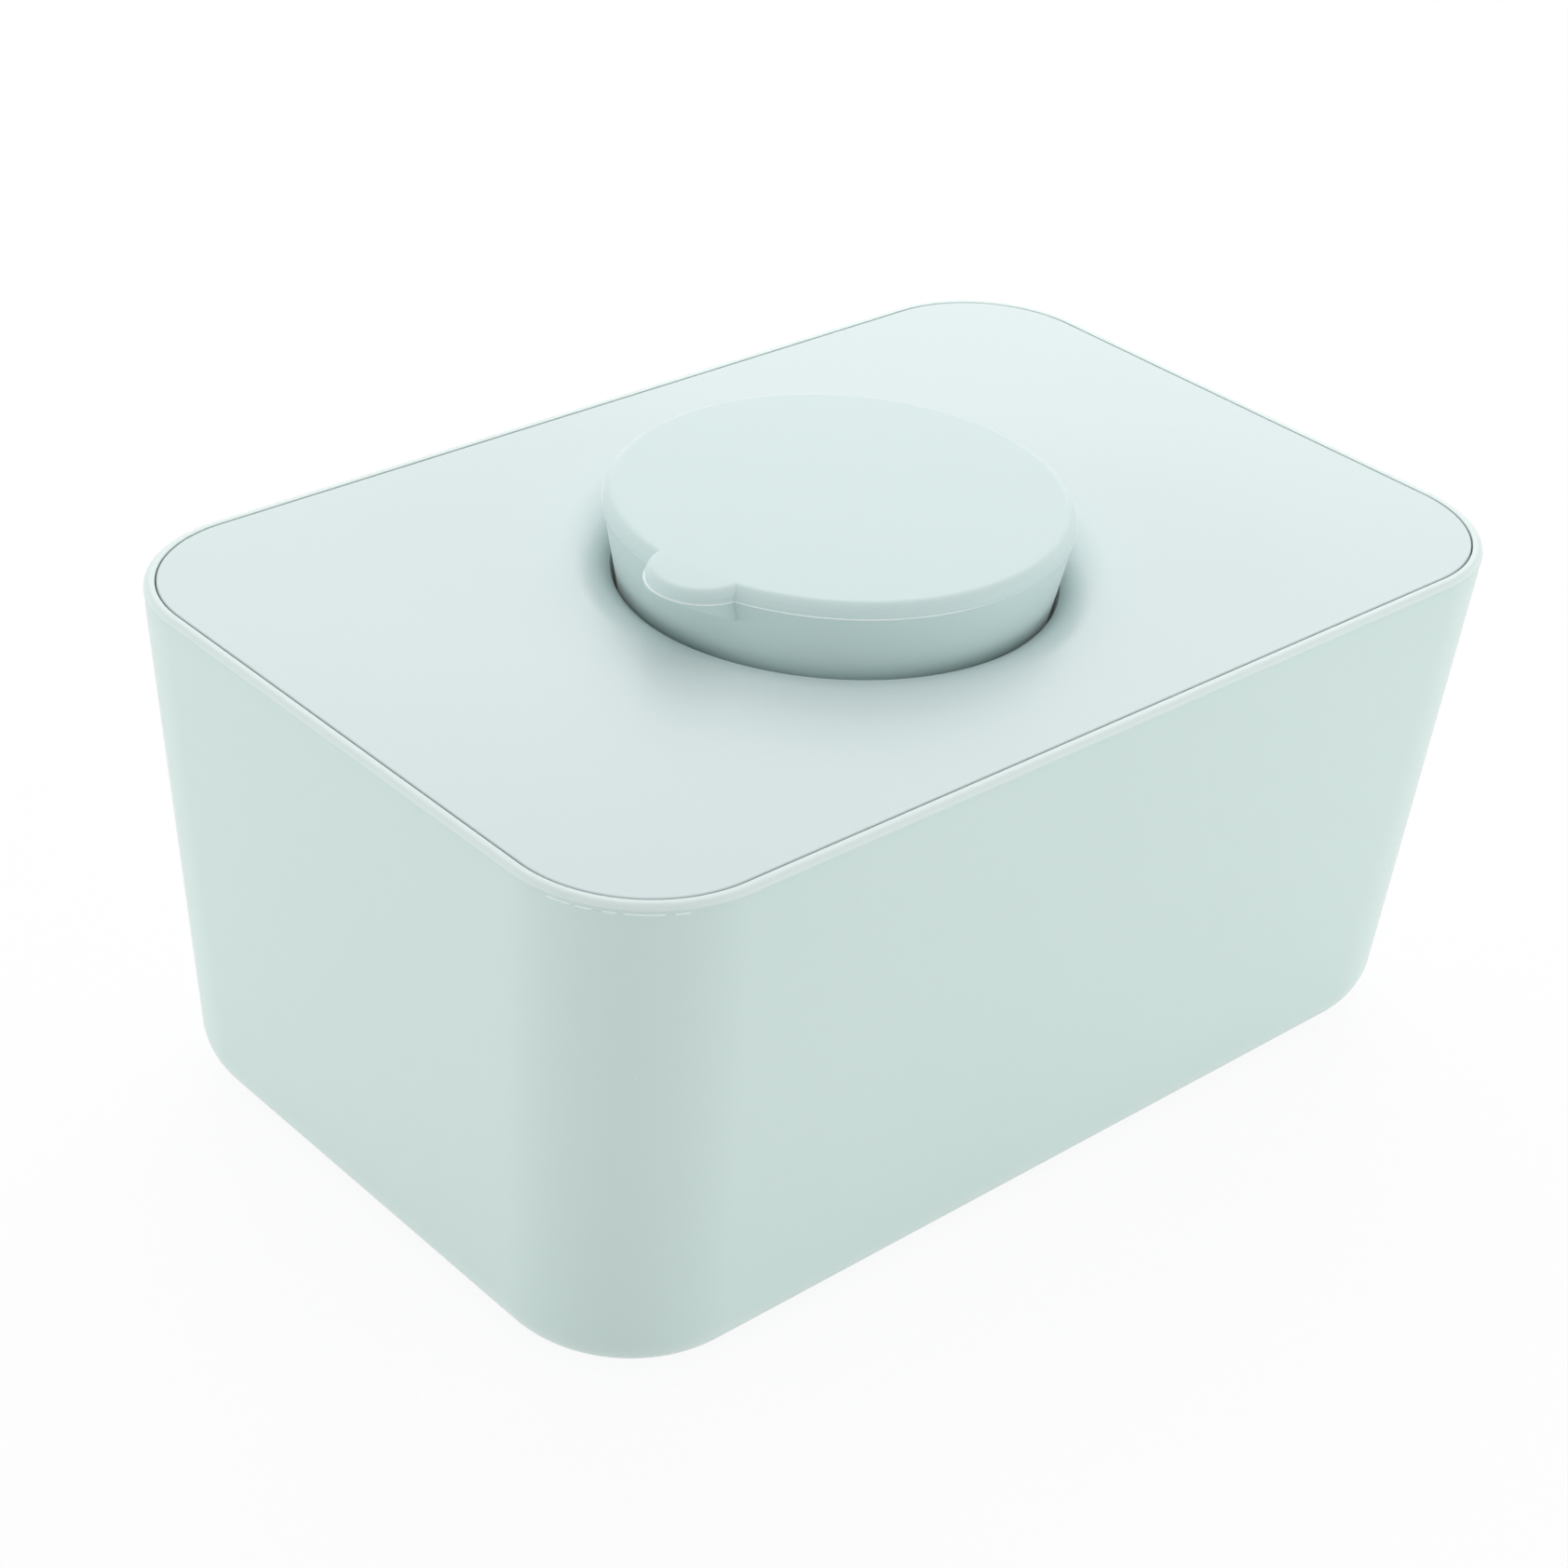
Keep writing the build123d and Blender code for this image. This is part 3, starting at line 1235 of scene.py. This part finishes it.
@dataclass
class Cap:
    """Hollow silicone plug with a parting line round its edge and a thumb tab."""

    envelope: Envelope
    wall: float = 2.4 * MM
    top_thickness: float = 2.6 * MM
    inner_round: float = 3.0 * MM
    foot_round: float = 0.5 * MM
    foot_clearance: float = 0.02 * MM
    bead_lift: float = 2.2 * MM
    bead_height: float = 1.4 * MM
    bead_proud: float = 0.35 * MM
    bead_round: float = 0.3 * MM
    flash_height: float = 0.24 * MM
    flash_proud: float = 0.14 * MM
    tab_flash_proud: float = 0.32 * MM
    flash_gaps: tuple[Point, ...] = ((163.0, 24.0), (-72.0, 34.0))
    flash_least: float = 0.15
    tab_angle: float = -170.0
    tab_radius: float = 8.7 * MM
    tab_reach: float = 5.4 * MM
    tab_fall: float = 0.3 * MM
    tab_curve: float = 1.3
    tab_edge_round: float = 1.5 * MM
    gusset_depth: float = 2.8 * MM
    gusset_start: float = 0.75
    sink_rate: float = 20.0
    top_rings: int = 6
    edge_steps: int = 28
    round_steps: int = 288
    tab_rings: int = 14
    tab_steps: int = 160

    def outside(self) -> bpy.types.Object:
        """Builds the cap's form without its hollow and its tab."""
        size = self.envelope
        seam = size.seam_level
        flat = size.cap_radius - size.cap_edge_width
        rounding = (size.cap_edge_width, size.cap_edge_height)
        edge = arc((flat, seam), rounding, 90.0, 0.0, self.edge_steps)
        bead_low = size.seat_level + self.bead_lift
        bead_high = bead_low + self.bead_height
        bead_mid = (bead_low + bead_high) / 2
        low_seam = seam - self.flash_height / 2
        foot = size.seat_level + self.foot_clearance
        wall = soften(
            [
                (size.cap_outer_radius(low_seam), low_seam, 0.0),
                (size.cap_outer_radius(bead_high), bead_high, self.bead_round),
                (size.cap_outer_radius(bead_mid) + self.bead_proud, bead_mid, 2 * self.bead_round),
                (size.cap_outer_radius(bead_low), bead_low, self.bead_round),
                (size.cap_outer_radius(foot), foot, self.foot_round),
                (0.0, foot, 0.0),
            ]
        )
        top = [(flat * ring / self.top_rings, size.cap_top) for ring in range(self.top_rings)]
        flash = [
            (size.cap_radius, seam + self.flash_height / 2),
            (size.cap_radius + self.flash_proud, seam),
        ]
        above = [point for point in edge if point[1] > seam + self.flash_height]
        bm = bmesh.new()
        spin(bm, top + above + flash + wall, self.round_steps)
        self.fade_flash(bm)
        self.paint_flash_highlight(bm, Vector((0.0, 0.0)), size.cap_radius)
        tidy_mesh(bm)
        return to_object(bm, "cap_plug", CAP_FINISH, FLASH_AND_HIGHLIGHT_FINISH)

    def fade_flash(self, bm: bmesh.types.BMesh) -> None:
        """Thins the parting line where the mould's halves met more tightly.

        Args:
            bm: The mesh of the cap's round form.
        """
        size = self.envelope
        for vert in bm.verts:
            rise = vert.co.z - size.seam_level
            if abs(rise) > self.flash_height / 2 + LEVEL_TOLERANCE:
                continue
            angle = math.degrees(math.atan2(vert.co.y, vert.co.x))
            share = 1.0
            for middle, reach in self.flash_gaps:
                off = abs((angle - middle + 180.0) % 360.0 - 180.0) / reach
                if off < 1.0:
                    share = self.flash_least + (1.0 - self.flash_least) * off**4
            radius = vert.co.xy.length
            proud = max(radius - size.cap_radius, 0.0)
            vert.co.xy *= 1.0 - proud * (1.0 - share) / radius
            vert.co.z = size.seam_level + rise * share

    def paint_flash_highlight(self, bm: bmesh.types.BMesh, middle: Vector, radius: float) -> None:
        """Gives the two strips of the parting line their own paler material, partly a painted
        highlight.

        Args:
            bm: The mesh.
            middle: Where the round form's axis stands.
            radius: Its radius at the seam.
        """
        seam = self.envelope.seam_level
        for face in bm.faces:
            here = face.calc_center_median()
            near_seam = abs(here.z - seam) < self.flash_height / 2
            if near_seam and (here.xy - middle).length > radius:
                face.material_index = 1

    def hollow(self) -> bpy.types.Object:
        """Builds the space inside the cap, which is open at its foot."""
        size = self.envelope
        ceiling = size.cap_top - self.top_thickness
        below = size.seat_level - self.wall
        foot = size.cap_outer_radius(size.seat_level) - self.wall
        head = size.cap_outer_radius(size.seam_level) - self.wall - size.cap_edge_width / 4
        lean = (head - foot) / (ceiling - size.seat_level)
        bm = bmesh.new()
        profile = soften(
            [
                (0.0, below, 0.0),
                (foot - lean * self.wall, below, 0.0),
                (head, ceiling, self.inner_round),
                (0.0, ceiling, 0.0),
            ]
        )
        spin(bm, profile, self.round_steps)
        tidy_mesh(bm)
        return to_object(bm, "cap_hollow")

    def tab(self) -> bpy.types.Object:
        """Builds the thumb tab as a coin whose top slopes down and whose underside slopes up."""
        size = self.envelope
        seam = size.seam_level
        tip = size.cap_radius + self.tab_reach
        middle = tip - self.tab_radius
        flat_end = size.cap_radius - size.cap_edge_width
        rounding = arc(
            (self.tab_radius - self.tab_edge_round, size.cap_top - self.tab_edge_round),
            (self.tab_edge_round,) * 2,
            90.0,
            0.0,
            self.tab_rings,
        )
        inner = [
            (rounding[0][0] * ring / self.tab_rings, size.cap_top) for ring in range(self.tab_rings)
        ]
        half = self.flash_height / 2
        wall = [
            (self.tab_radius, seam + half),
            (self.tab_radius + self.tab_flash_proud, seam),
            (self.tab_radius, seam - half),
            (self.tab_radius, seam - 2 * half),
            (0.0, seam - 2 * half),
        ]
        bm = bmesh.new()
        spin(bm, inner + rounding + wall, self.tab_steps, (middle, 0.0))
        self.paint_flash_highlight(bm, Vector((middle, 0.0)), self.tab_radius)
        gusset_root = size.cap_outer_radius(seam - self.gusset_depth)
        rise = self.gusset_depth / (tip - gusset_root)
        for vert in bm.verts:
            past = vert.co.x - flat_end
            if vert.co.z > seam + self.flash_height:
                share = max(past, 0.0) / (tip - flat_end)
                sunk = min(past, 0.0) ** 2 * self.sink_rate
                vert.co.z -= self.tab_fall * share**self.tab_curve + sunk
            elif vert.co.z < seam - self.flash_height * self.gusset_start:
                vert.co.z -= rise * (tip - vert.co.x)
        turn = Matrix.Rotation(math.radians(self.tab_angle), 4, "Z")
        bmesh.ops.transform(bm, matrix=turn, verts=bm.verts)
        tidy_mesh(bm)
        return to_object(bm, "thumb_tab")

    def build(self) -> list[bpy.types.Object]:
        """Builds the cap."""
        cap = self.outside()
        combine(cap, self.tab(), Cut.JOIN)
        combine(cap, self.hollow(), Cut.TAKE_AWAY)
        retidy(cap, JOINED_MERGE_DISTANCE)
        even_shading(cap)
        return [place(cap, Body.CAP, Slot.CAP, ["cap"])]


@dataclass
class Viewpoint:
    """Camera at the photograph's angle."""

    azimuth: float = -43.54
    elevation: float = 31.66
    roll: float = 3.95
    distance: float = 566.44 * MM
    target: tuple[float, float, float] = (-3.19 * MM, 5.22 * MM, 46.85 * MM)
    lens_mm: float = 76.18
    sensor_mm: float = 36.0

    def build(self) -> None:
        """Builds the camera and makes it the scene's own."""
        around = math.radians(self.azimuth)
        above = math.radians(self.elevation)
        back = Vector(
            (
                math.sin(around) * math.cos(above),
                -math.cos(around) * math.cos(above),
                math.sin(above),
            )
        )
        right = (-back).cross(Vector((0.0, 0.0, 1.0))).normalized()
        up = right.cross(-back)
        level = Matrix((right, up, back)).transposed().to_4x4()
        turn = Matrix.Rotation(math.radians(self.roll), 4, "Z")
        lens = bpy.data.cameras.new("camera")
        lens.lens = self.lens_mm
        lens.sensor_width = self.sensor_mm
        lens.clip_start = 10.0 * MM
        camera = bpy.data.objects.new("camera", lens)
        bpy.context.scene.collection.objects.link(camera)
        place_at = Vector(self.target) + back * self.distance
        camera.matrix_world = Matrix.Translation(place_at) @ level @ turn
        bpy.context.scene.camera = camera


@dataclass(frozen=True)
class Softbox:
    """One flat studio lamp."""

    name: str
    place: tuple[float, float, float]
    aim: tuple[float, float, float]
    size: tuple[float, float]
    power: float
    reflected: bool = True


@dataclass
class Studio:
    """Pale floor, white surroundings and soft lamps."""

    floor_size: float = 60.0
    floor_drop: float = 0.1 * MM
    shadow_reach: Point = (0.3, 0.8)
    floor_colour: str = "#FBFCFC"
    floor_glow: float = 0.9
    world_strength: float = 0.54
    boxes: tuple[Softbox, ...] = (
        Softbox("softbox_above", (-0.1, -0.1, 1.3), (0.0, 0.0, 0.08), (1.2, 1.2), 1.8),
        Softbox("softbox_rear", (0.34, 0.37, 0.58), (0.0, 0.0, 0.08), (0.8, 0.65), 2.3),
        Softbox("softbox_behind", (0.72, 0.8, 0.3), (0.0, 0.0, 0.09), (1.2, 0.5), 1.2),
        Softbox("softbox_left", (-1.05, 0.55, 0.24), (-0.1, 0.0, 0.05), (1.0, 0.44), 4.45, False),
        Softbox("softbox_right", (0.6, -1.05, 0.24), (0.0, -0.07, 0.05), (1.0, 0.44), 5.0, False),
    )

    def seen_directly(self, tree: bpy.types.NodeTree) -> bpy.types.NodeSocket:
        """Tells the camera's view, and its view by reflection, from light on the object.

        Args:
            tree: The nodes of the floor or of the world.

        Returns:
            A value that is 1 where the surface is seen and 0 where it lights something.
        """
        path = add_node(tree, "ShaderNodeLightPath")
        seen = path.outputs["Is Camera Ray"]
        for kind in ("Is Glossy Ray", "Is Transmission Ray"):
            seen = add_node(
                tree,
                "ShaderNodeMath",
                settings={"operation": "MAXIMUM"},
                inputs={0: seen, 1: path.outputs[kind]},
            ).outputs[0]
        return seen

    def build_world(self) -> None:
        """Makes the surroundings, which are white where they are seen and dim as a light."""
        world = bpy.data.worlds.new("studio_surroundings")
        world.use_nodes = True
        tree = world.node_tree
        tree.nodes.clear()
        strength = add_node(
            tree,
            "ShaderNodeMapRange",
            inputs={
                "Value": self.seen_directly(tree), "To Min": self.world_strength, "To Max": 1.0
            },
        )
        light = add_node(
            tree,
            "ShaderNodeBackground",
            inputs={"Color": (1.0, 1.0, 1.0, 1.0), "Strength": strength.outputs[0]},
        )
        add_node(tree, "ShaderNodeOutputWorld", inputs={"Surface": light.outputs[0]})
        bpy.context.scene.world = world

    def build_floor(self) -> None:
        """Builds the floor, seen white away from the object and with its light shadow near it."""
        bm = bmesh.new()
        bmesh.ops.create_grid(bm, x_segments=1, y_segments=1, size=self.floor_size / 2)
        bmesh.ops.translate(bm, vec=(0, 0, -self.floor_drop), verts=bm.verts)
        floor = to_object(bm, "studio_floor")
        material = bpy.data.materials.new("matte_white_paper")
        material.use_nodes = True
        tree = material.node_tree
        tree.nodes.clear()
        matte = add_node(tree, "ShaderNodeBsdfDiffuse", inputs={"Color": linear(self.floor_colour)})
        white = add_node(tree, "ShaderNodeEmission", inputs={"Strength": 1.0})
        away = add_node(
            tree,
            "ShaderNodeVectorMath",
            settings={"operation": "LENGTH"},
            inputs={0: add_node(tree, "ShaderNodeTexCoord").outputs["Object"]},
        )
        glow = add_node(
            tree,
            "ShaderNodeMapRange",
            settings={"interpolation_type": "SMOOTHSTEP"},
            inputs={
                "Value": away.outputs["Value"],
                "From Min": self.shadow_reach[0],
                "From Max": self.shadow_reach[1],
                "To Min": self.floor_glow,
                "To Max": 1.0,
            },
        )
        share = add_node(
            tree,
            "ShaderNodeMath",
            settings={"operation": "MULTIPLY"},
            inputs={0: self.seen_directly(tree), 1: glow.outputs[0]},
        )
        mixed = add_node(
            tree,
            "ShaderNodeMixShader",
            inputs={0: share.outputs[0], 1: matte.outputs[0], 2: white.outputs[0]},
        )
        add_node(tree, "ShaderNodeOutputMaterial", inputs={"Surface": mixed.outputs[0]})
        floor.data.materials.append(material)

    def build_lamps(self) -> None:
        """Builds the lamps."""
        for box in self.boxes:
            lamp = bpy.data.lights.new(box.name, "AREA")
            lamp.shape = "RECTANGLE"
            lamp.size, lamp.size_y = box.size
            lamp.energy = box.power
            stand = bpy.data.objects.new(box.name, lamp)
            bpy.context.scene.collection.objects.link(stand)
            aim = Vector(box.aim) - Vector(box.place)
            stand.location = box.place
            stand.rotation_euler = aim.to_track_quat("-Z", "Y").to_euler()
            stand.visible_camera = False
            stand.visible_glossy = box.reflected

    def build(self) -> None:
        """Builds the whole studio."""
        self.build_world()
        self.build_floor()
        self.build_lamps()
        bpy.context.scene.view_settings.view_transform = "Standard"


def main() -> None:
    """Builds the pieces, the studio and the camera."""
    logging.basicConfig(level=logging.INFO, format="%(name)s: %(message)s")
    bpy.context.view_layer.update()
    envelope = Envelope()
    parts = (Tub, Feet, Lid, LidSeal, Outlet, Cap)
    pieces = [piece for part in parts for piece in part(envelope).build()]
    log.info("%d pieces built", len(pieces))
    Studio().build()
    Viewpoint().build()


if __name__ == "__main__":
    main()
